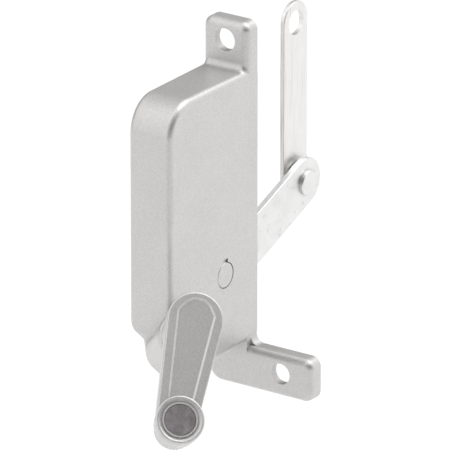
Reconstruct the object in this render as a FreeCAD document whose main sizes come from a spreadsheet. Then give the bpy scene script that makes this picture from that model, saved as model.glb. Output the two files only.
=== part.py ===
"""Crank operator for a window or louvre: cast housing, worm shaft, sector gear, arm and link.

The mounting plane is y = 0 and the housing stands out towards -Y.  +X is the side on which the
lower screw tab sticks out, +Z is up, and z = 0 is the underside of the housing.  The crank axis
leaves the lower front corner of the housing, turned and tilted as the two crank angles say.
"""
import FreeCAD, Part
import Sketcher
import math
import os

Vector = FreeCAD.Vector
Rotation = FreeCAD.Rotation
Placement = FreeCAD.Placement

# Driving dimensions, in millimetres and degrees: alias, value, meaning.
DIMENSIONS = [
    ("housing_width", 16.6, "housing across X, at the mounting plane"),
    ("side_taper", 0.55, "how much each side leans in towards the front"),
    ("tab_half_width", 8.2, "half width of the tabs, just inside the housing's sides"),
    ("housing_depth", 45.8, "mounting plane to front face"),
    ("housing_height", 88.5, "underside to top of the housing"),
    ("corner_radius", 11.0, "large round of the top front corner"),
    ("nose_start", 14.5, "height at which the front face turns in"),
    ("nose_inset", 6.8, "how far the lower front steps back"),
    ("nose_end", 8.5, "height of the foot of that slope"),
    ("foot_inset", 1.5, "further step back down to the underside"),
    ("chin_radius", 6.05, "round between the front face and that slope"),
    ("edge_round", 2.0, "round along the housing's outer edges"),
    ("tab_edge_round", 2.3, "round along the tabs' front edges"),
    ("root_round", 2.2, "inside round where the upper tab meets the housing"),
    ("side_root_round", 3.0, "inside round where the lower tab leaves the housing's side"),
    ("barrel_rim_round", 1.6, "round of the barrel's rim"),
    ("root_setback", 2.3, "lower tab's inside round, back from the tab's front face"),
    ("wall", 2.3, "wall of the casting"),
    ("tab_thickness", 5.6, "thickness of both screw tabs at their rims"),
    ("tab_skin", 2.7, "wall of the tabs in front of the hollow in their back"),
    ("gear_room", 0.6, "room in the casting around the sector gear"),
    ("tab_overlap", 6.0, "how far the tab blocks run into the housing"),
    ("upper_tab_top", 103.6, "top of the upper tab"),
    ("upper_hole_z", 97.3, "height of the upper screw hole"),
    ("upper_hole_radius", 3.7, "upper screw hole"),
    ("lower_tab_top", -1.3, "top edge of the lower tab"),
    ("lower_tab_bottom", -15.1, "bottom edge of the lower tab"),
    ("lower_tab_left", -6.4, "left end of the lower tab"),
    ("lower_tab_left_round", 4.6, "round of its lower left corner"),
    ("lower_tab_reach", 31.9, "right end of the lower tab"),
    ("lower_hole_x", 20.7, "lower screw hole across"),
    ("lower_hole_z", -7.5, "lower screw hole height"),
    ("lower_hole_radius", 3.4, "lower screw hole"),
    ("tab_corner", 3.0, "round of the tab corners"),
    ("pivot_y", -16.9, "arm pivot, depth"),
    ("pivot_z", 25.9, "arm pivot, height"),
    ("pin_radius", 4.2, "pivot pin"),
    ("pin_length", 16.2, "pivot pin, flush with both sides"),
    ("pin_chamfer", 0.35, "edge break of the pin's ends"),
    ("spacer_play", 0.05, "gap between the spacer tube and the left wall"),
    ("spacer_wall", 2.2, "wall of the spacer tube on the pin"),
    ("stake_width", 2.4, "chisel mark that stakes the pin"),
    ("stake_height", 1.2, "chisel mark that stakes the pin"),
    ("stake_depth", 0.5, "chisel mark that stakes the pin"),
    ("running_fit", 0.05, "radial clearance of a turning fit"),
    ("face_gap", 0.25, "clearance between faces that slide"),
    ("crank_azimuth", 43.0, "crank axis, turned from -Y towards +X"),
    ("crank_elevation", 33.0, "crank axis, tilted up"),
    ("worm_x", 1.8, "worm centre across"),
    ("worm_y", -33.6, "worm centre, depth"),
    ("worm_z", 5.6, "worm centre, height"),
    ("worm_pitch_radius", 3.6, "pitch radius of the worm"),
    ("tooth_addendum", 1.2, "tooth height outside the pitch line"),
    ("tooth_dedendum", 1.5, "tooth depth inside the pitch line"),
    ("pressure_angle", 20.0, "slope of the tooth flanks"),
    ("backlash", 0.8, "play between worm thread and gear tooth"),
    ("worm_back", -5.0, "rear end of the worm, along the crank axis"),
    ("worm_front", 7.0, "front end of the worm thread"),
    ("ball_offset", 1.5, "centre of the worm chamber's round end"),
    ("ball_radius", 9.3, "outside of the worm chamber"),
    ("nose_radius", 7.4, "round nose in front of the worm chamber"),
    ("nose_x", -0.8, "centre of the nose across"),
    ("nose_y", -34.0, "centre of the nose, depth"),
    ("nose_z", 4.9, "centre of the nose, height"),
    ("foot_radius", 5.0, "round between the nose and the underside"),
    ("barrel_radius", 8.3, "outside of the barrel at its rim"),
    ("barrel_base_radius", 9.4, "outside of the barrel at its base"),
    ("barrel_length", 21.0, "worm centre to barrel rim"),
    ("chamber_radius", 5.4, "inside of the worm chamber"),
    ("hub_room", 0.9, "room in the casting around the crank arm's hub"),
    ("bush_back", 10.6, "rear face of the bush"),
    ("bush_radius", 5.0, "outside of the bush"),
    ("collar_radius", 3.9, "collar of the worm shaft behind the bush"),
    ("collar_back", 8.3, "rear face of the collar, along the crank axis"),
    ("collar_width", 1.4, "collar of the worm shaft"),
    ("ring_groove", 0.9, "groove of the retaining ring"),
    ("ring_groove_depth", 0.3, "groove of the retaining ring"),
    ("ring_radius", 5.5, "outside of the retaining ring"),
    ("thin_ring", 0.6, "thickness of thrust washer and retaining ring"),
    ("thrust_radius", 4.6, "outside of the thrust washer"),
    ("thrust_gap", 0.15, "gap between thrust washer and bush"),
    ("ring_gap", 0.3, "gap between retaining ring and barrel"),
    ("bush_setback", 0.4, "front face of the bush behind the barrel's rim"),
    ("spline_groove", 0.35, "radius of the grooves between the splines"),
    ("journal_radius", 3.5, "shaft in the bush"),
    ("spline_radius", 3.2, "splined end of the shaft"),
    ("spline_teeth", 12, "number of splines"),
    ("gear_teeth", 30, "teeth that a full circle would have"),
    ("gear_back", -1.0, "left face of the sector gear"),
    ("gear_front", 3.5, "right face of the sector gear"),
    ("sector_start", 199.0, "first edge of the toothed sector, degrees from +Y towards +Z"),
    ("sector_end", 292.0, "last edge of the toothed sector"),
    ("gear_hub_radius", 9.5, "hub of the sector gear"),
    ("gear_rivet_radius", 1.6, "rivets between gear and drive arm"),
    ("gear_rivet_reach", 12.5, "pivot to those rivets"),
    ("arm_thickness", 2.1, "drive arm plate"),
    ("arm_length", 50.0, "arm pivot to link rivet"),
    ("arm_angle", 17.5, "line from pivot to link rivet, above horizontal"),
    ("arm_edge_angle", 21.5, "edges of the drive arm, above horizontal"),
    ("arm_bar_length", 37.5, "straight part of the arm's lower edge"),
    ("arm_end_radius", 7.7, "round end of the drive arm"),
    ("arm_hub_radius", 10.5, "hub end of the drive arm"),
    ("link_width", 12.7, "link strip"),
    ("link_thickness", 1.6, "link strip"),
    ("link_length", 51.6, "link rivet to link hole"),
    ("link_end_extra", 0.4, "extra length past the link hole"),
    ("strip_round", 0.3, "edge round of the drive arm and the link"),
    ("link_hole_radius", 4.0, "hole at the link's free end"),
    ("washer_radius", 5.75, "washer between arm and link"),
    ("washer_thickness", 1.5, "washer between arm and link"),
    ("rivet_radius", 2.6, "shank of the link rivet"),
    ("rivet_head_radius", 3.95, "head of the link rivet"),
    ("rivet_head_height", 1.2, "head of the link rivet"),
    ("rivet_head_chamfer", 0.3, "head of the link rivet"),
    ("rivet_tail_radius", 3.9, "peened end of the link rivet"),
    ("rivet_tail_height", 1.2, "peened end of the link rivet"),
    ("rivet_tail_chamfer", 0.4, "peened end of the link rivet"),
    ("handle_angle", -14.8, "crank arm at rest, from straight down"),
    ("handle_throw", 33.4, "crank axis to knob axis"),
    ("handle_thickness", 5.0, "crank arm plate"),
    ("handle_front", 46.3, "front face of the crank arm, along the crank axis"),
    ("handle_hub_end", 22.1, "rear end of the crank arm's hub"),
    ("handle_hub_radius", 7.5, "hub of the crank arm"),
    ("handle_big_radius", 8.5, "upper end of the crank arm"),
    ("handle_small_radius", 6.1, "lower end of the crank arm"),
    ("panel_depth", 0.45, "recess in the crank arm's face"),
    ("panel_slope", 55.0, "lean of the recess's sides"),
    ("panel_rim", 2.6, "rim left around the recess"),
    ("press_room", 0.02, "radial room of splined and riveted joints"),
    ("handle_round", 0.6, "round of the crank arm's front edge"),
    ("set_screw_radius", 2.5, "set screw hole"),
    ("set_screw_play", 0.05, "radial play of the set screw"),
    ("set_screw_point", 0.45, "bevel of the set screw's point"),
    ("set_screw_socket", 1.25, "socket of the set screw"),
    ("set_screw_socket_depth", 2.0, "socket of the set screw"),
    ("knob_radius", 7.4, "knob"),
    ("knob_height", 10.6, "knob"),
    ("knob_sink", 1.6, "rivet head sunk below the knob's rim"),
    ("knob_washer_radius", 4.9, "washer under the knob"),
    ("knob_washer_thickness", 0.5, "washer under the knob"),
    ("knob_tail_radius", 3.4, "peened end of the knob rivet"),
    ("knob_tail_height", 1.0, "peened end of the knob rivet"),
    ("knob_tail_chamfer", 0.4, "peened end of the knob rivet"),
    ("knob_head_height", 1.4, "head of the knob rivet"),
    ("knob_rivet_radius", 2.3, "shank of the knob rivet"),
    ("knob_head_radius", 4.67, "head of the knob rivet"),
    ("knob_recess_radius", 4.75, "recess of the knob around that head"),
    ("knob_lip_inner", 4.95, "raised lip of the knob around that head"),
    ("knob_lip_outer", 5.4, "raised lip of the knob around that head"),
    ("knob_head_chamfer", 0.15, "bevel of that head"),
]

doc = FreeCAD.newDocument("crank_operator")
sheet = doc.addObject("Spreadsheet::Sheet", "dims")
for row, (alias, value, meaning) in enumerate(DIMENSIONS, start=1):
    sheet.set("A%d" % row, alias)
    sheet.set("B%d" % row, str(value))
    sheet.set("C%d" % row, meaning)
    sheet.setAlias("B%d" % row, alias)
doc.recompute()


def dim(alias):
    """Value of a driving dimension."""
    return float(sheet.get(alias))


def bind(obj, **formulas):
    """Bind properties of obj to formulas; bare aliases in a formula are sheet cells."""
    for prop, formula in formulas.items():
        obj.setExpression(prop, with_sheet(formula))


def with_sheet(formula):
    """Write 'dims.' before every sheet alias in a formula."""
    text = str(formula)
    words = []
    word = ""
    for letter in text + " ":
        if letter.isalnum() or letter == "_":
            word += letter
            continue
        words.append("dims." + word if word in ALIASES else word)
        words.append(letter)
        word = ""
    return "".join(words).strip()


ALIASES = {entry[0] for entry in DIMENSIONS}
NODES = []


# ---------------------------------------------------------------- frames

AZIMUTH = math.radians(dim("crank_azimuth"))
ELEVATION = math.radians(dim("crank_elevation"))
CRANK_AXIS = Vector(
    math.cos(ELEVATION) * math.sin(AZIMUTH),
    -math.cos(ELEVATION) * math.cos(AZIMUTH),
    math.sin(ELEVATION),
)
CRANK_SIDE = Vector(math.cos(AZIMUTH), math.sin(AZIMUTH), 0)
CRANK_UP = CRANK_AXIS.cross(CRANK_SIDE)
WORM_CENTRE = Vector(dim("worm_x"), dim("worm_y"), dim("worm_z"))
PIVOT = Vector(0, dim("pivot_y"), dim("pivot_z"))


def crank_frame(along=0.0):
    """Frame on the crank axis: local Z is the axis, local Y is up, 'along' mm from the worm."""
    turn = Rotation(CRANK_SIDE, CRANK_UP, CRANK_AXIS, "ZXY")
    return Placement(WORM_CENTRE + CRANK_AXIS * along, turn)


def handle_frame(along=0.0):
    """Crank frame turned so that local -Y runs down the crank arm."""
    turn = Placement(Vector(0, 0, 0), Rotation(Vector(0, 0, 1), dim("handle_angle")))
    return crank_frame(along).multiply(turn)


def pivot_frame(x=0.0):
    """Frame on the arm pivot: local Z is world +X, local X is world +Y, local Y is world +Z."""
    turn = Rotation(Vector(0, 1, 0), Vector(0, 0, 1), Vector(1, 0, 0), "ZXY")
    return Placement(PIVOT + Vector(x, 0, 0), turn)


# ---------------------------------------------------------------- helpers

def origin_plane(body, role):
    """One of the body's own origin planes."""
    return [f for f in body.Origin.OriginFeatures if f.Role == role][0]


def new_body(name, placement=None):
    """A PartDesign body that becomes one exported node."""
    body = doc.addObject("PartDesign::Body", name)
    body.Label = name
    if placement is not None:
        body.Placement = placement
    NODES.append(body)
    return body


def new_sketch(body, name, role="XY_Plane", offset="0"):
    """An empty sketch on an origin plane of the body, moved along its normal."""
    sketch = body.newObject("Sketcher::SketchObject", name)
    sketch.AttachmentSupport = [(origin_plane(body, role), "")]
    sketch.MapMode = "FlatFace"
    sketch.setExpression("AttachmentOffset.Base.z", with_sheet(offset))
    return sketch


def number(formula):
    """Value of a formula of sheet aliases."""
    return float(sheet.evalExpression(with_sheet(formula).replace("dims.", "")))


def pin_point(sketch, geo, pos, x_formula, y_formula):
    """Fix a sketch point at two formulas measured from the sketch origin."""
    for kind, formula in (("DistanceX", x_formula), ("DistanceY", y_formula)):
        index = sketch.addConstraint(Sketcher.Constraint(kind, -1, 1, geo, pos, number(formula)))
        sketch.setExpression("Constraints[%d]" % index, with_sheet(formula))


def add_polygon(sketch, points):
    """Closed polygon through points given as pairs of formulas."""
    places = [Vector(number(x), number(y), 0) for x, y in points]
    first = sketch.GeometryCount
    count = len(places)
    for i in range(count):
        sketch.addGeometry(Part.LineSegment(places[i], places[(i + 1) % count]), False)
    for i in range(count):
        after = (i + 1) % count
        sketch.addConstraint(Sketcher.Constraint("Coincident", first + i, 2, first + after, 1))
    for i, (x, y) in enumerate(points):
        pin_point(sketch, first + i, 1, x, y)


def add_circle(sketch, x, y, radius):
    """Circle with its centre and radius given as formulas."""
    circle = Part.Circle(Vector(number(x), number(y), 0), Vector(0, 0, 1), number(radius))
    geo = sketch.addGeometry(circle, False)
    pin_point(sketch, geo, 3, x, y)
    index = sketch.addConstraint(Sketcher.Constraint("Radius", geo, number(radius)))
    sketch.setExpression("Constraints[%d]" % index, with_sheet(radius))


def extrude(body, name, sketch, length, kind="PartDesign::Pad", side="One side", reverse=False):
    """Pad or pocket a sketch by a length formula."""
    feature = body.newObject(kind, name)
    feature.Profile = sketch
    feature.SideType = side
    feature.Reversed = reverse
    bind(feature, Length=length)
    doc.recompute()
    return feature


def primitive(body, kind, name, placement, **formulas):
    """Additive or subtractive primitive of a body."""
    feature = body.newObject("PartDesign::" + kind, name)
    bind(feature, **formulas)
    feature.Placement = placement
    doc.recompute()
    return feature


def round_edges(body, name, radius, wanted, kind="PartDesign::Fillet"):
    """Round the edges of the body's tip that 'wanted' picks."""
    base = body.Tip
    names = ["Edge%d" % (i + 1) for i, edge in enumerate(base.Shape.Edges) if wanted(edge)]
    feature = body.newObject(kind, name)
    feature.Base = (base, names)
    bind(feature, **{"Radius" if kind.endswith("Fillet") else "Size": radius})
    doc.recompute()
    return feature


def middle(edge):
    """Point at the middle of an edge."""
    return edge.valueAt((edge.FirstParameter + edge.LastParameter) / 2)


def is_line_along(edge, axis):
    """True for a straight edge parallel to an axis."""
    if edge.Curve.TypeId != "Part::GeomLine":
        return False
    return abs(edge.tangentAt(edge.FirstParameter).dot(axis)) > 0.999


def is_circle(edge):
    """True for a round edge."""
    return edge.Curve.TypeId == "Part::GeomCircle"


X_AXIS = Vector(1, 0, 0)
Y_AXIS = Vector(0, 1, 0)
Z_AXIS = Vector(0, 0, 1)


def turned(name, placement, outline):
    """Body revolved about the local Z axis of its placement; outline is (radius, height) pairs."""
    body = new_body(name, placement)
    sketch = new_sketch(body, name + "_section", "XZ_Plane")
    add_polygon(sketch, outline)
    feature = body.newObject("PartDesign::Revolution", name + "_turned")
    feature.Profile = sketch
    feature.ReferenceAxis = (sketch, ["V_Axis"])
    feature.Angle = 360
    doc.recompute()
    return body


def ring(name, placement, outer, inner, height):
    """Plain washer, tube or (with inner 0) disc standing on its placement."""
    return turned(name, placement, [(inner, "0"), (outer, "0"), (outer, height), (inner, height)])


# ---------------------------------------------------------------- housing

def housing():
    """Cast housing, open at the back, with two screw tabs and a slanted barrel for the crank."""
    body = new_body("housing")
    half = dim("housing_width") / 2
    depth = dim("housing_depth")
    top = dim("housing_height")
    thickness = dim("tab_thickness")

    profile = new_sketch(body, "housing_profile", "YZ_Plane")
    add_polygon(profile, [
        ("0", "0"),
        ("0", "housing_height"),
        ("-housing_depth", "housing_height"),
        ("-housing_depth", "nose_start"),
        ("-housing_depth + nose_inset", "nose_end"),
        ("-housing_depth + nose_inset + foot_inset", "0"),
    ])
    extrude(body, "housing_block", profile, "housing_width", side="Symmetric")

    taper = new_sketch(body, "side_taper_outline", "XY_Plane")
    for side in ("", "-"):
        add_polygon(taper, [
            (side + "housing_width / 2", "0"),
            (side + "(housing_width / 2 + 1)", "-housing_depth - 1"),
            (side + "(housing_width / 2 - side_taper)", "-housing_depth - 1"),
        ])
    extrude(body, "side_taper", taper, "2 * housing_height + 2", "PartDesign::Pocket", "Symmetric")

    def corner_at(y, z):
        return lambda e: (is_line_along(e, X_AXIS) and abs(middle(e).y - y) < 0.1
                          and abs(middle(e).z - z) < 0.1)

    round_edges(body, "top_corner", "corner_radius", corner_at(-depth, top))
    round_edges(body, "chin_corner", "chin_radius", corner_at(-depth, dim("nose_start")))
    neck_y = -depth + dim("nose_inset")
    round_edges(body, "neck", "tab_corner", corner_at(neck_y, dim("nose_end")))
    foot_y = neck_y + dim("foot_inset")
    round_edges(body, "foot_corner", "foot_radius", corner_at(foot_y, 0))
    round_edges(body, "side_edges", "edge_round",
                lambda e: abs(middle(e).x) > half - 0.8 and not is_line_along(e, X_AXIS)
                and middle(e).y < -0.1)

    upper = new_sketch(body, "upper_tab_outline", "XZ_Plane")
    add_polygon(upper, [
        ("-tab_half_width", "housing_height - tab_overlap"),
        ("tab_half_width", "housing_height - tab_overlap"),
        ("tab_half_width", "upper_tab_top"),
        ("-tab_half_width", "upper_tab_top"),
    ])
    extrude(body, "upper_tab", upper, "tab_thickness")
    lower = new_sketch(body, "lower_tab_outline", "XZ_Plane")
    add_polygon(lower, [
        ("lower_tab_left", "lower_tab_bottom"),
        ("lower_tab_reach", "lower_tab_bottom"),
        ("lower_tab_reach", "lower_tab_top"),
        ("tab_half_width", "lower_tab_top"),
        ("tab_half_width", "tab_overlap - 2"),
        ("lower_tab_left", "tab_overlap - 2"),
    ])
    extrude(body, "lower_tab", lower, "tab_thickness")

    def lower_left(e):
        return abs(middle(e).x - dim("lower_tab_left")) < 0.05 and middle(e).z < -5

    def tab_corner(e):
        spot = middle(e)
        outer = spot.z > top + 5 or spot.z < dim("lower_tab_top") + 0.5
        inner = abs(spot.x - dim("tab_half_width")) < 0.05 and abs(spot.z) < 5
        return is_line_along(e, Y_AXIS) and outer and not inner and not lower_left(e)

    round_edges(body, "tab_corners", "tab_corner", tab_corner)
    round_edges(body, "lower_left_corner", "lower_tab_left_round",
                lambda e: is_line_along(e, Y_AXIS) and lower_left(e))
    round_edges(body, "tab_edges", "tab_edge_round",
                lambda e: abs(middle(e).y + thickness) < 0.01
                and (middle(e).z > top + 3 or middle(e).z < dim("lower_tab_top") + 0.5))

    round_edges(body, "upper_tab_root", "root_round",
                lambda e: is_line_along(e, X_AXIS) and abs(middle(e).y + thickness) < 0.05
                and abs(middle(e).z - top) < 0.05)

    root_back = Vector(half - 0.15, -thickness + dim("root_setback"), dim("lower_tab_top") - 0.05)
    primitive(body, "AdditiveBox", "lower_tab_root", Placement(root_back, Rotation()),
              Length="side_root_round", Width="tab_thickness - root_setback",
              Height="side_root_round")
    root_axis = root_back + Vector(dim("side_root_round"), -1, dim("side_root_round"))
    primitive(body, "SubtractiveCylinder", "lower_tab_root_round",
              Placement(root_axis, Rotation(X_AXIS, -90)),
              Radius="side_root_round", Height="tab_thickness + 2")

    primitive(body, "AdditiveCone", "barrel", crank_frame(),
              Radius1="barrel_base_radius", Radius2="barrel_radius", Height="barrel_length")
    round_edges(body, "barrel_rim", "barrel_rim_round",
                lambda e: is_circle(e) and abs(e.Curve.Radius - dim("barrel_radius")) < 0.01)
    primitive(body, "AdditiveSphere", "chamber_end", crank_frame(dim("ball_offset")),
              Radius="ball_radius")
    nose = Placement(Vector(dim("nose_x"), dim("nose_y"), dim("nose_z")), Rotation())
    primitive(body, "AdditiveSphere", "nose", nose, Radius="nose_radius")

    cavity = new_sketch(body, "cavity_profile", "YZ_Plane")
    add_polygon(cavity, [
        ("2", "wall"),
        ("2", "housing_height - wall"),
        ("-housing_depth + corner_radius", "housing_height - wall"),
        ("-housing_depth + wall", "housing_height - corner_radius"),
        ("-housing_depth + wall", "nose_start + wall * 0.5"),
        ("-housing_depth + nose_inset + wall * 0.9", "nose_end + wall * 0.5"),
        ("-housing_depth + nose_inset + wall * 0.9 + foot_inset", "wall"),
    ])
    extrude(body, "cavity", cavity, "housing_width - 2 * wall", "PartDesign::Pocket", "Symmetric")
    hollow = new_sketch(body, "tab_hollows", "XZ_Plane", "-1")
    add_polygon(hollow, [
        ("-tab_half_width + wall", "housing_height + wall"),
        ("tab_half_width - wall", "housing_height + wall"),
        ("tab_half_width - wall", "upper_tab_top - wall"),
        ("-tab_half_width + wall", "upper_tab_top - wall"),
    ])
    add_polygon(hollow, [
        ("lower_tab_left + wall", "lower_tab_bottom + wall"),
        ("lower_tab_reach - wall", "lower_tab_bottom + wall"),
        ("lower_tab_reach - wall", "lower_tab_top - wall"),
        ("lower_tab_left + wall", "lower_tab_top - wall"),
    ])
    extrude(body, "tab_hollow_cut", hollow, "tab_thickness - tab_skin + 1", "PartDesign::Pocket",
            reverse=True)
    primitive(body, "SubtractiveCylinder", "gear_relief",
              pivot_frame(dim("gear_back") - dim("gear_room")),
              Radius="%.4f + tooth_addendum + gear_room" % MESH["gear_radius"],
              Height="gear_front - gear_back + 2 * gear_room")
    primitive(body, "SubtractiveCylinder", "worm_chamber", crank_frame(dim("worm_back") - 0.3),
              Radius="chamber_radius", Height="bush_back - worm_back + 0.3")
    primitive(body, "SubtractiveCylinder", "bush_bore", crank_frame(dim("bush_back") - 0.1),
              Radius="bush_radius", Height="barrel_length")

    primitive(body, "SubtractiveCylinder", "hub_relief", crank_frame(dim("barrel_length")),
              Radius="handle_hub_radius + hub_room", Height="barrel_length")

    holes = new_sketch(body, "screw_holes", "XZ_Plane", "-1")
    add_circle(holes, "0", "upper_hole_z", "upper_hole_radius")
    add_circle(holes, "lower_hole_x", "lower_hole_z", "lower_hole_radius")
    extrude(body, "screw_hole_cut", holes, "tab_thickness + 3", "PartDesign::Pocket", reverse=True)
    pin_hole = new_sketch(body, "pin_hole", "YZ_Plane")
    add_circle(pin_hole, "pivot_y", "pivot_z", "pin_radius")
    extrude(body, "pin_hole_cut", pin_hole, "housing_width + 4", "PartDesign::Pocket", "Symmetric")
    stake = PIVOT + Vector(dim("pin_length") / 2 - dim("stake_depth"), -dim("stake_width") / 2,
                           dim("pin_radius") - 0.1)
    primitive(body, "SubtractiveBox", "stake_mark", Placement(stake, Rotation()),
              Length="stake_depth + 1", Width="stake_width", Height="stake_height")
    return body


# ---------------------------------------------------------------- pivot and drive arm

def pivot_pin():
    """Straight pin through both side walls, staked flush at its ends."""
    body = ring("pivot_pin", pivot_frame(-dim("pin_length") / 2), "pin_radius", "0", "pin_length")
    round_edges(body, "pin_end_chamfer", "pin_chamfer", is_circle, "PartDesign::Chamfer")
    return body


def pivot_spacer():
    """Tube on the pin between the left wall and the gear."""
    start = -(dim("housing_width") / 2 - dim("wall")) + dim("spacer_play")
    return ring("pivot_spacer", pivot_frame(start), "pin_radius + spacer_wall",
                "pin_radius + running_fit",
                "housing_width / 2 - wall + gear_back - spacer_play - face_gap")


def mesh():
    """Numbers of the skew worm mesh, worked out from the two axes and the tooth sizes."""
    common = X_AXIS.cross(CRANK_AXIS)
    common.normalize()
    to_worm = WORM_CENTRE - PIVOT
    if common.dot(to_worm) < 0:
        common = common * -1
    distance = common.dot(to_worm)
    flat = Vector(0, CRANK_AXIS.y, CRANK_AXIS.z)
    along = -Vector(0, to_worm.y, to_worm.z).dot(flat) / flat.dot(flat)
    nearest = WORM_CENTRE + CRANK_AXIS * along
    worm_radius = dim("worm_pitch_radius")
    gear_radius = distance - worm_radius
    shaft_angle = math.acos(CRANK_AXIS.x)
    lead_angle = 0.0
    for _ in range(50):
        helix = math.pi / 2 - shaft_angle - lead_angle
        normal_pitch = 2 * math.pi * gear_radius * math.cos(helix) / dim("gear_teeth")
        worm_pitch = normal_pitch / math.cos(lead_angle)
        lead_angle = math.atan2(worm_pitch, 2 * math.pi * worm_radius)
    return {
        "direction": common,
        "along": along,
        "x": nearest.x,
        "gear_radius": gear_radius,
        "helix": helix,
        "normal_pitch": normal_pitch,
        "worm_pitch": worm_pitch,
        "lead_angle": lead_angle,
    }


MESH = mesh()


def half_tooth(pitch, slope, height):
    """Half width of the worm thread at a height above the pitch line, less the play."""
    return (pitch / 2 - dim("backlash")) / 2 - height * slope


def involute(angle):
    """Involute function."""
    return math.tan(angle) - angle


def tooth_half_angle(distance):
    """Half angle of a gear tooth at a distance from the pivot, with involute flanks."""
    radius = MESH["gear_radius"]
    cosine = math.cos(MESH["helix"])
    at_pitch = (MESH["normal_pitch"] / 2 - dim("backlash")) / cosine / 2 / radius
    pressure = math.atan(math.tan(math.radians(dim("pressure_angle"))) / cosine)
    base = radius * math.cos(pressure)
    here = math.acos(min(1.0, base / distance))
    return at_pitch + involute(pressure) - involute(here)


def gear_outline(x):
    """Closed wire of the toothed sector in the plane at x, turned by the tooth helix."""
    radius = MESH["gear_radius"]
    pitch_angle = 2 * math.pi / dim("gear_teeth")
    tip = radius + dim("tooth_addendum")
    root = radius - dim("tooth_dedendum")
    mesh_angle = math.atan2(MESH["direction"].z, MESH["direction"].y) + 2 * math.pi
    twist = (x - MESH["x"]) * math.tan(MESH["helix"]) / radius
    first = math.radians(dim("sector_start"))
    last = math.radians(dim("sector_end"))
    steps = 4
    heights = [root + (tip - root) * i / steps for i in range(steps + 1)]
    points = []

    def add(distance, angle):
        turn = angle + twist
        points.append(Vector(x, PIVOT.y + distance * math.cos(turn),
                             PIVOT.z + distance * math.sin(turn)))

    inner = dim("gear_hub_radius") * 0.6
    middle_angle = (first + last) / 2
    for offset in (0.7, 0.0, -0.7):
        add(inner, middle_angle + offset)
    add(root, first)
    index = math.ceil((first - mesh_angle) / pitch_angle)
    while mesh_angle + (index + 1) * pitch_angle < last:
        centre = mesh_angle + (index + 0.5) * pitch_angle
        for distance in heights:
            add(distance, centre - tooth_half_angle(distance))
        for distance in reversed(heights):
            add(distance, centre + tooth_half_angle(distance))
        index += 1
    add(root, last)
    return Part.makePolygon(points + [points[0]])


def disc(x, radius, thickness):
    """Cylinder about the pivot axis, starting at x."""
    return Part.makeCylinder(radius, thickness, PIVOT + Vector(x, 0, 0), X_AXIS)


# Directions of the three gear rivets from the pivot, in degrees from +Y towards +Z.
GEAR_RIVET_ANGLES = (215.0, 250.0, 285.0)


def rivet_cylinders(start, length):
    """Cylinders along the three rivets that hold the arm to the gear, starting at x."""
    cylinders = []
    for angle in GEAR_RIVET_ANGLES:
        turn = math.radians(angle)
        reach = Vector(0, math.cos(turn), math.sin(turn)) * dim("gear_rivet_reach")
        foot = PIVOT + reach + Vector(start, 0, 0)
        cylinders.append(Part.makeCylinder(dim("gear_rivet_radius"), length, foot, X_AXIS))
    return cylinders


def sector_gear():
    """Sector gear with slanted teeth, riveted to the drive arm."""
    back = dim("gear_back")
    front = dim("gear_front")
    sector = Part.makeLoft([gear_outline(back), gear_outline(front)], True, True)
    solid = sector.fuse(disc(back, dim("gear_hub_radius"), front - back))
    bore = dim("pin_radius") + dim("running_fit")
    solid = solid.cut(disc(back - 1, bore, front - back + 2))
    for hole in rivet_cylinders(back - 1, front - back + 2):
        solid = solid.cut(hole)
    feature = doc.addObject("Part::Feature", "sector_gear")
    feature.Shape = solid.removeSplitter()
    feature.Label = "sector_gear"
    NODES.append(feature)
    return feature


def outline_edges(plate):
    """Long edges of a flat plate's two faces and the edge of its round free end."""
    faces = [face for face in plate.Faces if abs(face.normalAt(0, 0).x) > 0.999]
    edges = [edge for face in faces for edge in face.OuterWire.Edges]
    return [edge for edge in edges if middle(edge).y > PIVOT.y + dim("arm_hub_radius")]


# Corners of the arm's heel, from the pivot (y, z), going round under and in front of the gear.
ARM_HEEL = [(3.0, -13.0), (-9.0, -12.0), (-12.0, -6.0), (-4.0, 8.5)]
TOP_EDGE_EXTRA = 9.0


def drive_arm():
    """Flat steel arm: hub, riveting flange over the gear, straight bar and round end."""
    start = dim("gear_front")
    thickness = dim("arm_thickness")
    edge_angle = math.radians(dim("arm_edge_angle"))
    along = Vector(0, math.cos(edge_angle), math.sin(edge_angle))
    across = Vector(0, -math.sin(edge_angle), math.cos(edge_angle))
    angle = math.radians(dim("arm_angle"))
    end = Vector(0, math.cos(angle), math.sin(angle)) * dim("arm_length") + PIVOT
    radius = dim("arm_end_radius")
    shift = Vector(start, 0, 0)
    reach = dim("arm_bar_length")
    corners = [
        end + across * radius,
        end - across * radius,
        end - across * radius - along * reach,
        *[PIVOT + Vector(0, y, z) for y, z in ARM_HEEL],
        end + across * radius - along * (reach + TOP_EDGE_EXTRA),
    ]
    points = [point + shift for point in corners]
    plate = Part.Face(Part.makePolygon(points + [points[0]])).extrude(Vector(thickness, 0, 0))
    plate = plate.fuse(Part.makeCylinder(radius, thickness, end + shift, X_AXIS))
    plate = plate.fuse(disc(start, dim("arm_hub_radius"), thickness))
    plate = plate.cut(disc(start - 1, dim("pin_radius") + dim("running_fit"), thickness + 2))
    hole = Part.makeCylinder(dim("rivet_radius"), thickness + 2, end + shift - X_AXIS, X_AXIS)
    plate = plate.cut(hole)
    for rivet_hole in rivet_cylinders(start - 1, thickness + 2):
        plate = plate.cut(rivet_hole)
    plate = plate.removeSplitter()
    feature = doc.addObject("Part::Feature", "drive_arm")
    feature.Shape = plate.makeFillet(dim("strip_round"), outline_edges(plate))
    feature.Label = "drive_arm"
    NODES.append(feature)
    return feature


def link_pivot(x):
    """Frame on the link rivet: local Z is world +X, starting at x."""
    angle = math.radians(dim("arm_angle"))
    reach = Vector(0, math.cos(angle), math.sin(angle)) * dim("arm_length")
    frame = pivot_frame(x)
    frame.Base = frame.Base + reach
    return frame


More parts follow.
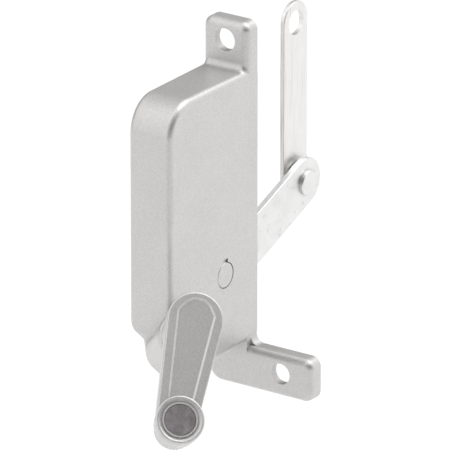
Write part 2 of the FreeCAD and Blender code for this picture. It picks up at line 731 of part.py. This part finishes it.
def gear_rivets():
    """Three flush rivets through gear and arm, one node."""
    start = dim("gear_back")
    length = dim("gear_front") - start + dim("arm_thickness")
    feature = doc.addObject("Part::Feature", "gear_rivets")
    feature.Shape = Part.makeCompound(rivet_cylinders(start, length))
    feature.Label = "gear_rivets"
    NODES.append(feature)
    return feature


# ---------------------------------------------------------------- link

def link():
    """Flat link strip with round ends, on the left face of the arm."""
    start = "gear_front - 2 * face_gap - washer_thickness - link_thickness"
    body = new_body("link", link_pivot(number(start)))
    sketch = new_sketch(body, "link_bar")
    half = "link_width / 2"
    add_polygon(sketch, [("-" + half, "0"), (half, "0"), (half, "link_length + link_end_extra"),
                         ("-" + half, "link_length + link_end_extra")])
    extrude(body, "link_strip", sketch, "link_thickness")
    for name, height in (("link_lower_end", "0"), ("link_upper_end", "link_length + link_end_extra")):
        end = new_sketch(body, name + "_circle")
        add_circle(end, "0", height, half)
        extrude(body, name, end, "link_thickness")
    round_edges(body, "link_edges", "strip_round", lambda e: not is_line_along(e, Z_AXIS))
    holes = new_sketch(body, "link_holes")
    add_circle(holes, "0", "0", "rivet_radius + running_fit")
    add_circle(holes, "0", "link_length", "link_hole_radius")
    extrude(body, "link_hole_cut", holes, "link_thickness * 3", "PartDesign::Pocket", "Symmetric")
    return body


def link_rivet():
    """Shouldered rivet: flat round head outside the arm, peened tail behind the link."""
    tail = dim("rivet_tail_height")
    back = number("gear_front - 3 * face_gap - washer_thickness - link_thickness")
    shank = ("rivet_tail_height + arm_thickness + washer_thickness + link_thickness"
             " + 3 * face_gap")
    head = shank + " + rivet_head_height"
    return turned("link_rivet", link_pivot(back - tail), [
        ("0", "0"), ("rivet_tail_radius - rivet_tail_chamfer", "0"),
        ("rivet_tail_radius", "rivet_tail_chamfer"), ("rivet_tail_radius", "rivet_tail_height"),
        ("rivet_radius", "rivet_tail_height"), ("rivet_radius", shank),
        ("rivet_head_radius", shank), ("rivet_head_radius", head + " - rivet_head_chamfer"),
        ("rivet_head_radius - rivet_head_chamfer", head), ("0", head),
    ])


def link_washer():
    """Washer that keeps the link off the arm."""
    frame = link_pivot(dim("gear_front") - dim("face_gap") - dim("washer_thickness"))
    return ring("link_washer", frame, "washer_radius", "rivet_radius + running_fit",
                "washer_thickness")


# ---------------------------------------------------------------- worm shaft

def worm_shaft():
    """One-piece shaft: left-hand worm, collar, journal and splined end."""
    root = dim("worm_pitch_radius") - dim("tooth_dedendum")
    back = dim("worm_back")
    front = dim("worm_front")
    pitch = MESH["worm_pitch"]
    slope = math.tan(math.radians(dim("pressure_angle"))) / math.cos(MESH["lead_angle"])
    sink = 0.3
    low = half_tooth(pitch, slope, -dim("tooth_dedendum") - sink)
    high = half_tooth(pitch, slope, dim("tooth_addendum"))
    tip = dim("worm_pitch_radius") + dim("tooth_addendum")
    start = back + low
    height = front - low - start
    toward_gear = crank_frame().Rotation.inverted().multVec(MESH["direction"] * -1)
    gear_side = math.atan2(toward_gear.y, toward_gear.x)
    phase = gear_side + 2 * math.pi * (MESH["along"] - start) / pitch
    helix = Part.makeHelix(pitch, height, dim("worm_pitch_radius"), 0, True)
    corners = [
        Vector(root - sink, 0, -low), Vector(tip, 0, -high),
        Vector(tip, 0, high), Vector(root - sink, 0, low),
    ]
    section = Part.makePolygon(corners + [corners[0]])
    thread = Part.Wire(helix.Edges).makePipeShell([section], True, True)
    thread.rotate(Vector(0, 0, 0), Z_AXIS, math.degrees(phase))
    thread.translate(Vector(0, 0, start))
    collar = dim("collar_back")
    collar_front = collar + dim("collar_width")
    journal_end = dim("barrel_length") + dim("ring_gap") - 0.1
    spline_start = journal_end + dim("ring_groove")
    stages = [
        (root, back, collar),
        (dim("collar_radius"), collar, collar_front),
        (dim("journal_radius"), collar_front, journal_end),
        (dim("spline_radius") - dim("ring_groove_depth"), journal_end, spline_start),
        (dim("spline_radius"), spline_start, dim("handle_front") - dim("handle_thickness")),
    ]
    shaft = None
    for radius, low_end, high_end in stages:
        piece = Part.makeCylinder(radius, high_end - low_end, Vector(0, 0, low_end))
        shaft = piece if shaft is None else shaft.fuse(piece)
    shaft = shaft.fuse(thread)
    groove = Part.makeCylinder(dim("spline_groove"), dim("handle_front"),
                               Vector(dim("spline_radius") + 0.05, 0, spline_start))
    teeth = int(dim("spline_teeth"))
    for index in range(teeth):
        cut = groove.copy()
        cut.rotate(Vector(0, 0, 0), Z_AXIS, index * 360.0 / teeth)
        shaft = shaft.cut(cut)
    feature = doc.addObject("Part::Feature", "worm_shaft")
    feature.Shape = shaft
    feature.Label = "worm_shaft"
    feature.Placement = crank_frame()
    NODES.append(feature)
    return feature


def bush_and_rings():
    """Bush in the barrel, thrust washer behind it and the clip that holds the shaft."""
    ring("spindle_bush", crank_frame(dim("bush_back")), "bush_radius",
         "journal_radius + running_fit", "barrel_length - bush_back - bush_setback")
    thrust_back = dim("bush_back") - dim("thrust_gap") - dim("thin_ring")
    ring("thrust_washer", crank_frame(thrust_back), "thrust_radius",
         "journal_radius + running_fit", "thin_ring")
    ring("retaining_ring", crank_frame(dim("barrel_length") + dim("ring_gap")), "ring_radius",
         "spline_radius - ring_groove_depth", "thin_ring")


# ---------------------------------------------------------------- crank arm and knob

def crank_arm():
    """Cast crank arm: hub with splined bore, tapered plate with a shallow panel in its face."""
    body = new_body("crank_arm", handle_frame())
    flat = new_sketch(body, "arm_outline", offset="handle_front - handle_thickness")
    ratio = (dim("handle_big_radius") - dim("handle_small_radius")) / dim("handle_throw")
    cosine = math.sqrt(1 - ratio * ratio)
    big_half = "handle_big_radius * %.6f" % cosine
    small_half = "handle_small_radius * %.6f" % cosine
    big_height = "-handle_big_radius * %.6f" % ratio
    small_height = "-handle_throw - handle_small_radius * %.6f" % ratio
    add_polygon(flat, [
        ("-" + big_half, big_height), (big_half, big_height),
        (small_half, small_height), ("-" + small_half, small_height),
    ])
    extrude(body, "arm_plate", flat, "handle_thickness")
    for name, height, radius in (("arm_top", "0", "handle_big_radius"),
                                 ("arm_foot", "-handle_throw", "handle_small_radius")):
        circle = new_sketch(body, name + "_circle", offset="handle_front - handle_thickness")
        add_circle(circle, "0", height, radius)
        extrude(body, name, circle, "handle_thickness")
    front = dim("handle_front")
    round_edges(body, "arm_front_round", "handle_round",
                lambda e: abs(e.BoundBox.ZMin - front) < 0.01 and abs(e.BoundBox.ZMax - front) < 0.01)
    hub = new_sketch(body, "hub_circle", offset="handle_hub_end")
    add_circle(hub, "0", "0", "handle_hub_radius")
    extrude(body, "hub", hub, "handle_front - handle_thickness - handle_hub_end + 0.5")
    panel = new_sketch(body, "panel_outline", offset="handle_front")
    add_polygon(panel, [
        ("-handle_big_radius + panel_rim", "handle_big_radius * 0.25"),
        ("-handle_big_radius + panel_rim + 2", "handle_big_radius - 3.4"),
        ("-handle_big_radius + panel_rim + 4.2", "handle_big_radius - 1.8"),
        ("handle_big_radius - panel_rim - 4.2", "handle_big_radius - 1.8"),
        ("handle_big_radius - panel_rim - 2", "handle_big_radius - 3.4"),
        ("handle_big_radius - panel_rim", "handle_big_radius * 0.25"),
        ("handle_small_radius - panel_rim + 0.3", "-handle_throw + 6.5"),
        ("-handle_small_radius + panel_rim - 0.3", "-handle_throw + 6.5"),
    ])
    recess = extrude(body, "panel", panel, "panel_depth", "PartDesign::Pocket")
    bind(recess, TaperAngle="panel_slope * -1")
    doc.recompute()
    bore = new_sketch(body, "spline_bore", offset="handle_hub_end - 0.5")
    add_circle(bore, "0", "0", "spline_radius + press_room")
    extrude(body, "spline_bore_cut", bore,
            "handle_front - handle_thickness - handle_hub_end + 1", "PartDesign::Pocket", reverse=True)
    pin = new_sketch(body, "knob_hole", offset="handle_front - handle_thickness - 1")
    add_circle(pin, "0", "-handle_throw", "knob_rivet_radius + press_room")
    extrude(body, "knob_hole_cut", pin, "handle_thickness + 2", "PartDesign::Pocket", reverse=True)
    screw_height = "(handle_hub_end + handle_front - handle_thickness) / 2"
    screw = new_sketch(body, "set_screw_hole", "XZ_Plane")
    add_circle(screw, "0", screw_height, "set_screw_radius")
    extrude(body, "set_screw_cut", screw, "handle_hub_radius + 2", "PartDesign::Pocket", reverse=True)
    return body


def crank_set_screw():
    """Socket set screw in the hub that bears on the splined end."""
    height = number("(handle_hub_end + handle_front - handle_thickness) / 2")
    point = Vector(0, -dim("spline_radius") - 0.1, height)
    frame = handle_frame().multiply(Placement(point, Rotation(X_AXIS, 90)))
    length = "handle_hub_radius - spline_radius - 0.5"
    socket_floor = length + " - set_screw_socket_depth"
    outside = "set_screw_radius - set_screw_play"
    return turned("crank_set_screw", frame, [
        ("0", "0"), (outside + " - set_screw_point", "0"), (outside, "set_screw_point"),
        (outside, length), ("set_screw_socket", length), ("set_screw_socket", socket_floor),
        ("0", socket_floor),
    ])


def knob_frame(along):
    """Frame on the knob axis, 'along' mm from the worm along the crank direction."""
    return handle_frame(along).multiply(Placement(Vector(0, -dim("handle_throw"), 0), Rotation()))


def knob_parts():
    """Turning knob, its washer and the rivet that holds both to the crank arm."""
    front = dim("handle_front")
    bore = "knob_rivet_radius + running_fit"
    ring("knob_washer", knob_frame(front), "knob_washer_radius", bore, "knob_washer_thickness")
    turned("knob", knob_frame(front + dim("knob_washer_thickness") + dim("face_gap")), [
        (bore, "0"), ("knob_radius - 1.2", "0"), ("knob_radius - 0.5", "0.7"),
        ("knob_radius", "knob_height - 2.4"), ("knob_radius", "knob_height - 0.7"),
        ("knob_radius - 0.1", "knob_height - 0.35"), ("knob_radius - 0.4", "knob_height - 0.15"),
        ("knob_radius - 0.8", "knob_height - 0.15"), ("knob_lip_outer + 0.3", "knob_height - 0.55"),
        ("knob_lip_outer", "knob_height - 0.6"), ("knob_lip_outer", "knob_height - 0.1"),
        ("knob_lip_outer - 0.15", "knob_height + 0.1"), ("knob_lip_inner", "knob_height + 0.1"),
        ("knob_recess_radius", "knob_height - 0.1"),
        ("knob_recess_radius", "knob_height - knob_sink"), (bore, "knob_height - knob_sink"),
    ])
    head = ("knob_tail_height + handle_thickness + knob_washer_thickness + knob_height"
            " - knob_sink + 2 * face_gap")
    face = head + " + knob_head_height"
    turned("knob_rivet", knob_frame(front - dim("handle_thickness") - dim("knob_tail_height")), [
        ("0", "0"), ("knob_tail_radius - knob_tail_chamfer", "0"),
        ("knob_tail_radius", "knob_tail_chamfer"), ("knob_tail_radius", "knob_tail_height"),
        ("knob_rivet_radius", "knob_tail_height"), ("knob_rivet_radius", head),
        ("knob_head_radius", head), ("knob_head_radius", face + " - knob_head_chamfer"),
        ("knob_head_radius - knob_head_chamfer", face), ("0", face),
    ])


housing()
pivot_pin()
pivot_spacer()
sector_gear()
drive_arm()
gear_rivets()
link()
link_rivet()
link_washer()
worm_shaft()
bush_and_rings()
crank_arm()
crank_set_screw()
knob_parts()


def write_nodes():
    """Check every object, then write one STEP file per node."""
    doc.recompute()
    for obj in doc.Objects:
        bad = [state for state in obj.State if state in ("Invalid", "Error")]
        if bad:
            raise RuntimeError("%s is %s" % (obj.Label, bad))
    for node in NODES:
        shape = node.Shape
        if shape.isNull() or not shape.isValid():
            raise RuntimeError("%s has no valid shape" % node.Label)
        print("%-18s solids %d  volume %9.1f" % (node.Label, len(shape.Solids), shape.Volume))
    os.makedirs("parts", exist_ok=True)
    for node in NODES:
        node.Shape.exportStep("parts/%s.step" % node.Label)


write_nodes()
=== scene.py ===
"""Window crank operator: looks, light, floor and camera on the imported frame.  Metres, +Z up."""

import math

import bpy
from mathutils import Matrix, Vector


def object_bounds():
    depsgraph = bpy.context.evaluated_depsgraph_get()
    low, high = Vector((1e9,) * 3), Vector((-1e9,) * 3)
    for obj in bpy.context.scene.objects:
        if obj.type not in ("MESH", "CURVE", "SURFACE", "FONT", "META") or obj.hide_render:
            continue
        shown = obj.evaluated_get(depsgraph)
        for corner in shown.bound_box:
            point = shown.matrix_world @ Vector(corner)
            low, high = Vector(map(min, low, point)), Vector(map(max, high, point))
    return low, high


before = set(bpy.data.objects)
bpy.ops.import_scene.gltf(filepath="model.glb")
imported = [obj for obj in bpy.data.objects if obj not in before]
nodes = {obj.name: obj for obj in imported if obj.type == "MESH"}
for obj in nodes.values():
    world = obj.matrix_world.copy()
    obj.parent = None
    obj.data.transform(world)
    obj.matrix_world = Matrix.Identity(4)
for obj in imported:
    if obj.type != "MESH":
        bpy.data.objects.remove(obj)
cad_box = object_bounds()


# ---------------------------------------------------------------- node helpers

class Material:
    """A Principled material with short calls for the procedural detail."""

    def __init__(self, name, **sockets):
        self.material = bpy.data.materials.new(name)
        self.material.use_nodes = True
        self.tree = self.material.node_tree
        self.shader = self.tree.nodes["Principled BSDF"]
        for socket, value in sockets.items():
            self.shader.inputs[socket.replace("_", " ")].default_value = value
        coordinates = self.tree.nodes.new("ShaderNodeTexCoord")
        self.place = coordinates.outputs["Object"]

    def link(self, source, target):
        """Join an output to an input."""
        self.tree.links.new(source, target)

    def stretched(self, scale, turn=0.0):
        """Object coordinates turned about X, then scaled along each axis."""
        turned = self.tree.nodes.new("ShaderNodeMapping")
        turned.inputs["Rotation"].default_value = (turn, 0.0, 0.0)
        self.link(self.place, turned.inputs["Vector"])
        mapping = self.tree.nodes.new("ShaderNodeMapping")
        mapping.inputs["Scale"].default_value = scale
        self.link(turned.outputs["Vector"], mapping.inputs["Vector"])
        return mapping.outputs["Vector"]

    def noise(self, scale, detail=3.0, roughness=0.55, place=None):
        """Noise between 0 and 1; scale is in cells per metre."""
        node = self.tree.nodes.new("ShaderNodeTexNoise")
        node.inputs["Scale"].default_value = scale
        node.inputs["Detail"].default_value = detail
        node.inputs["Roughness"].default_value = roughness
        self.link(place or self.place, node.inputs["Vector"])
        return node.outputs["Fac"]

    def cells(self, scale):
        """A random grey for each small cell, as metal flakes have."""
        node = self.tree.nodes.new("ShaderNodeTexVoronoi")
        node.inputs["Scale"].default_value = scale
        self.link(self.place, node.inputs["Vector"])
        grey = self.tree.nodes.new("ShaderNodeRGBToBW")
        self.link(node.outputs["Color"], grey.inputs["Color"])
        return grey.outputs["Val"]

    def spread(self, value, low, high, start=0.3, end=0.7):
        """Map a value from start..end onto low..high."""
        node = self.tree.nodes.new("ShaderNodeMapRange")
        node.inputs["From Min"].default_value = start
        node.inputs["From Max"].default_value = end
        node.inputs["To Min"].default_value = low
        node.inputs["To Max"].default_value = high
        self.link(value, node.inputs["Value"])
        return node.outputs["Result"]

    def math(self, operation, first, second):
        """Arithmetic on two values; either may be a plain number."""
        node = self.tree.nodes.new("ShaderNodeMath")
        node.operation = operation
        for socket, value in zip(node.inputs, (first, second)):
            if isinstance(value, (int, float)):
                socket.default_value = value
            else:
                self.link(value, socket)
        return node.outputs["Value"]

    def ramp(self, value, stops):
        """Colour ramp through (position, colour) stops."""
        node = self.tree.nodes.new("ShaderNodeValToRGB")
        elements = node.color_ramp.elements
        while len(elements) < len(stops):
            elements.new(0.5)
        for element, (position, colour) in zip(elements, stops):
            element.position = position
            element.color = (*colour, 1.0)
        self.link(value, node.inputs["Fac"])
        return node.outputs["Color"]

    def bump(self, height, distance, strength, under=None):
        """Bump of a height; under is a normal to build on."""
        node = self.tree.nodes.new("ShaderNodeBump")
        node.inputs["Strength"].default_value = strength
        node.inputs["Distance"].default_value = distance
        self.link(height, node.inputs["Height"])
        if under is not None:
            self.link(under, node.inputs["Normal"])
        return node.outputs["Normal"]

    def painted_crevice_shade(self, reach, darkest):
        """Painted shade: a factor below 1 that darkens the colour where other surfaces stand close
        by.
        """
        node = self.tree.nodes.new("ShaderNodeAmbientOcclusion")
        node.samples = 8
        node.inputs["Distance"].default_value = reach
        return self.spread(node.outputs["AO"], darkest, 1.0, 0.25, 0.95)

    def scaled(self, colour, factor):
        """Colour multiplied by a value."""
        node = self.tree.nodes.new("ShaderNodeVectorMath")
        node.operation = "SCALE"
        self.link(colour, node.inputs["Vector"])
        self.link(factor, node.inputs["Scale"])
        return node.outputs["Vector"]

    def finish(self, colour=None, roughness=None, normal=None):
        """Plug colour, roughness and normal into the shader."""
        for name, source in (("Base Color", colour), ("Roughness", roughness), ("Normal", normal)):
            if source is not None:
                self.link(source, self.shader.inputs[name])
        return self.material


def grey(level, warmth=0.0, violet=0.0):
    """A grey of a linear level; warmth leans to yellow, violet away from green."""
    return (level * (1 + warmth), level * (1 - violet), level * (1 - warmth))


# ---------------------------------------------------------------- materials

# Noise scales, in cells per metre; the brushed grain has one along X, across and along the strip.
FLAKE_SCALE = 5200.0
PATCH_SCALE = 70.0
PEEL_SCALE = 900.0
BRUSHED_SCALE = (60.0, 4500.0, 90.0)
# How far a surface looks for its neighbours when painting shade into its crevices, in metres.
CASTING_SHADE_REACH = 0.006
STEEL_SHADE_REACH = 0.0012


def painted_casting(level):
    """Aluminium-coloured paint on a casting: fine flake sparkle and a soft orange-peel."""
    m = Material("painted_casting", Metallic=0.75, Coat_Weight=0.12, Coat_Roughness=0.25)
    flakes = m.cells(FLAKE_SCALE)
    fine = m.noise(FLAKE_SCALE / 2, detail=2.0)
    patches = m.noise(PATCH_SCALE, detail=4.0)
    mixed = m.math("ADD", m.math("MULTIPLY", flakes, 0.45), m.math("MULTIPLY", fine, 0.35))
    mixed = m.math("ADD", mixed, m.math("MULTIPLY", patches, 0.20))
    colour = m.ramp(mixed, [
        (0.25, grey(level * 0.86, 0.012, 0.002)),
        (0.50, grey(level, 0.012, 0.002)),
        (0.75, grey(level * 1.16, 0.010, 0.002)),
    ])
    # Painted shade: the colour is darkened where other surfaces stand close by.
    colour = m.scaled(colour, m.painted_crevice_shade(CASTING_SHADE_REACH, 0.62))
    roughness = m.spread(fine, 0.34, 0.46)
    peel = m.bump(m.noise(PEEL_SCALE, detail=1.0), 0.00004, 0.5)
    normal = m.bump(flakes, 0.00002, 0.5, under=peel)
    return m.finish(colour, roughness, normal)


def plated_steel(name, level, warmth, violet, streak, marks, mark_tone, turn=0.0):
    """Zinc-plated strip: brushed along its length, with dark marks and small pits.

    streak is the share of the brushed grain against soft clouds; marks scales the noise of the
    dark marks along X, across the strip and along it, so unequal scales give scratches, and
    mark_tone is what is left of the colour in them.
    """
    m = Material(name, Metallic=1.0)
    along = m.stretched(BRUSHED_SCALE, turn)
    brushed = m.noise(1.0, detail=4.0, place=along)
    clouds = m.noise(140.0, detail=5.0, roughness=0.6)
    pits = m.noise(1500.0, detail=1.0)
    marked = m.noise(1.0, detail=1.0, place=m.stretched(marks, turn))
    dark_marks = m.spread(marked, mark_tone, 1.0, 0.28, 0.36)
    mixed = m.math("ADD", m.math("MULTIPLY", brushed, streak),
                   m.math("MULTIPLY", clouds, 1 - streak))
    colour = m.ramp(mixed, [
        (0.30, grey(level * 0.90, warmth, violet)),
        (0.50, grey(level, warmth, violet)),
        (0.72, grey(level * 1.08, warmth, violet)),
    ])
    # Painted shade: the colour is darkened where other surfaces stand close by, on top of the real
    # dark marks.
    colour = m.scaled(colour, m.math("MULTIPLY", dark_marks, m.painted_crevice_shade(STEEL_SHADE_REACH, 0.72)))
    roughness = m.spread(clouds, 0.36, 0.50)
    fine = m.bump(brushed, 0.00002, 0.5)
    pitted = m.bump(m.spread(pits, 0.0, 1.0, 0.28, 0.36), 0.00003, 0.6, under=fine)
    return m.finish(colour, roughness, pitted)


def turned_steel(name, level, warmth, violet):
    """Dark steel with a fine grain and a cloudy oxide."""
    m = Material(name, Metallic=1.0)
    clouds = m.noise(500.0, detail=4.0)
    grain = m.noise(4000.0, detail=2.0)
    mixed = m.math("ADD", m.math("MULTIPLY", clouds, 0.6), m.math("MULTIPLY", grain, 0.4))
    colour = m.ramp(mixed, [
        (0.30, grey(level * 0.80, warmth, violet)),
        (0.55, grey(level, warmth, violet)),
        (0.75, grey(level * 1.25, warmth, violet)),
    ])
    normal = m.bump(grain, 0.00003, 0.5)
    return m.finish(colour, m.spread(clouds, 0.32, 0.50), normal)


def bronze():
    """Sintered bronze with a fine open grain."""
    m = Material("bearing_bronze", Metallic=1.0)
    grain = m.noise(3500.0, detail=3.0)
    colour = m.ramp(grain, [(0.3, (0.32, 0.20, 0.09)), (0.7, (0.62, 0.42, 0.20))])
    return m.finish(colour, m.spread(grain, 0.35, 0.55), m.bump(grain, 0.00003, 0.5))


def paint(node_name, material):
    """Give a CAD node its material."""
    for material_slot in nodes[node_name].material_slots:
        material_slot.material = material


ARM_GRAIN_RISE = 21.5  # degrees above level, the brushed grain on the drive arm
casting = painted_casting(level=0.61)
arm_steel = plated_steel("arm_zinc", level=0.79, warmth=0.002, violet=-0.010, streak=0.12,
                         marks=(620.0, 620.0, 480.0), mark_tone=0.88,
                         turn=math.radians(90 - ARM_GRAIN_RISE))
link_steel = plated_steel("link_zinc", level=0.81, warmth=0.014, violet=0.0, streak=0.6,
                          marks=(900.0, 2600.0, 24.0), mark_tone=0.74)
shaft_steel = turned_steel("shaft_steel", level=0.30, warmth=0.01, violet=0.0)
bearing_bronze = bronze()
head_steel = turned_steel("rivet_steel", level=0.36, warmth=0.015, violet=0.05)

FINISHES = {
    "housing": casting,
    "crank_arm": casting,
    "knob": casting,
    "pivot_pin": casting,
    "drive_arm": arm_steel,
    "link": link_steel,
    "link_rivet": arm_steel,
    "link_washer": arm_steel,
    "gear_rivets": arm_steel,
    "pivot_spacer": arm_steel,
    "knob_washer": arm_steel,
    "sector_gear": shaft_steel,
    "worm_shaft": shaft_steel,
    "retaining_ring": shaft_steel,
    "crank_set_screw": shaft_steel,
    "spindle_bush": bearing_bronze,
    "thrust_washer": bearing_bronze,
    "knob_rivet": head_steel,
}
for node_name, finish in FINISHES.items():
    paint(node_name, finish)


# ---------------------------------------------------------------- camera

CAMERA_TURN = math.radians(34.58)  # from -Y towards +X
CAMERA_RISE = math.radians(21.08)  # above level
CAMERA_DISTANCE = 2.5
FRAME_WIDTH = 0.13794  # what the picture spans at the object
AIM = Vector((-0.00108, -0.00391, 0.03623))


def make_camera():
    """Long lens looking at the middle of the frame from the photograph's angle."""
    back = Vector((
        math.sin(CAMERA_TURN) * math.cos(CAMERA_RISE),
        -math.cos(CAMERA_TURN) * math.cos(CAMERA_RISE),
        math.sin(CAMERA_RISE),
    ))
    data = bpy.data.cameras.new("camera")
    data.lens = data.sensor_width * CAMERA_DISTANCE / FRAME_WIDTH
    data.clip_end = 20.0
    camera = bpy.data.objects.new("camera", data)
    camera.location = AIM + back * CAMERA_DISTANCE
    camera.rotation_euler = back.to_track_quat("Z", "Y").to_euler()
    bpy.context.collection.objects.link(camera)
    bpy.context.scene.camera = camera


# ---------------------------------------------------------------- floor and light

DARK_SIDE = Vector((0.80, -0.56, 0.10)).normalized()
FLOOR_SIZE = 6.0
FLOOR_HEIGHT = cad_box[0][2] - 0.05
FLOOR_DARK, FLOOR_LIGHT = 0.93, 0.95
# Brightness of the tent from the side away from DARK_SIDE (0) to DARK_SIDE itself (1).
WORLD_STOPS = [(0.05, 0.24), (0.50, 1.0), (0.72, 1.0), (0.95, 0.04)]
WORLD_STRENGTH = 1.24
# Place, size in metres and power in watts.  The upper left box is dimmer than the tent behind it,
# so in reflections it reads as a darker patch; the top box adds light from above and behind.
UPPER_LEFT_BOX = ((-0.53, -0.36, 0.82), 0.75, 0.4)
TOP_BOX = ((0.40, 0.45, 1.15), 1.0, 5.5)


def make_floor():
    """Plain pale floor a little below the object."""
    bpy.ops.mesh.primitive_plane_add(size=FLOOR_SIZE, location=(0.0, 0.0, FLOOR_HEIGHT))
    floor = bpy.context.object
    floor.name = "floor"
    m = Material("floor_paint", Roughness=0.9)
    colour = m.ramp(m.noise(3.0, detail=2.0), [(0.3, grey(FLOOR_DARK)), (0.7, grey(FLOOR_LIGHT))])
    floor.data.materials.append(m.finish(colour))


def make_world():
    """Soft white tent, dark towards DARK_SIDE and dimmer on the side away from it."""
    world = bpy.data.worlds.new("tent")
    bpy.context.scene.world = world
    world.use_nodes = True
    tree = world.node_tree
    background = tree.nodes["Background"]
    coordinates = tree.nodes.new("ShaderNodeTexCoord")
    facing = tree.nodes.new("ShaderNodeVectorMath")
    facing.operation = "DOT_PRODUCT"
    facing.inputs[1].default_value = DARK_SIDE
    share = tree.nodes.new("ShaderNodeMath")  # -1..1 onto 0..1
    share.operation = "MULTIPLY_ADD"
    share.inputs[1].default_value = 0.5
    share.inputs[2].default_value = 0.5
    ramp = tree.nodes.new("ShaderNodeValToRGB")
    elements = ramp.color_ramp.elements
    while len(elements) < len(WORLD_STOPS):
        elements.new(0.5)
    for element, (position, level) in zip(elements, WORLD_STOPS):
        element.position = position
        element.color = (*grey(level), 1.0)
    tree.links.new(coordinates.outputs["Generated"], facing.inputs[0])
    tree.links.new(facing.outputs["Value"], share.inputs[0])
    tree.links.new(share.outputs["Value"], ramp.inputs["Fac"])
    tree.links.new(ramp.outputs["Color"], background.inputs["Color"])
    background.inputs["Strength"].default_value = WORLD_STRENGTH


def soft_box(name, place, size, power):
    """Square area light aimed at the object's middle."""
    data = bpy.data.lights.new(name, "AREA")
    data.size = size
    data.energy = power
    light = bpy.data.objects.new(name, data)
    light.location = place
    light.rotation_euler = (Vector(place) - AIM).to_track_quat("Z", "Y").to_euler()
    bpy.context.collection.objects.link(light)


make_camera()
make_floor()
make_world()
soft_box("upper_left_box", *UPPER_LEFT_BOX)
soft_box("top_box", *TOP_BOX)
bpy.context.scene.view_settings.view_transform = "Standard"
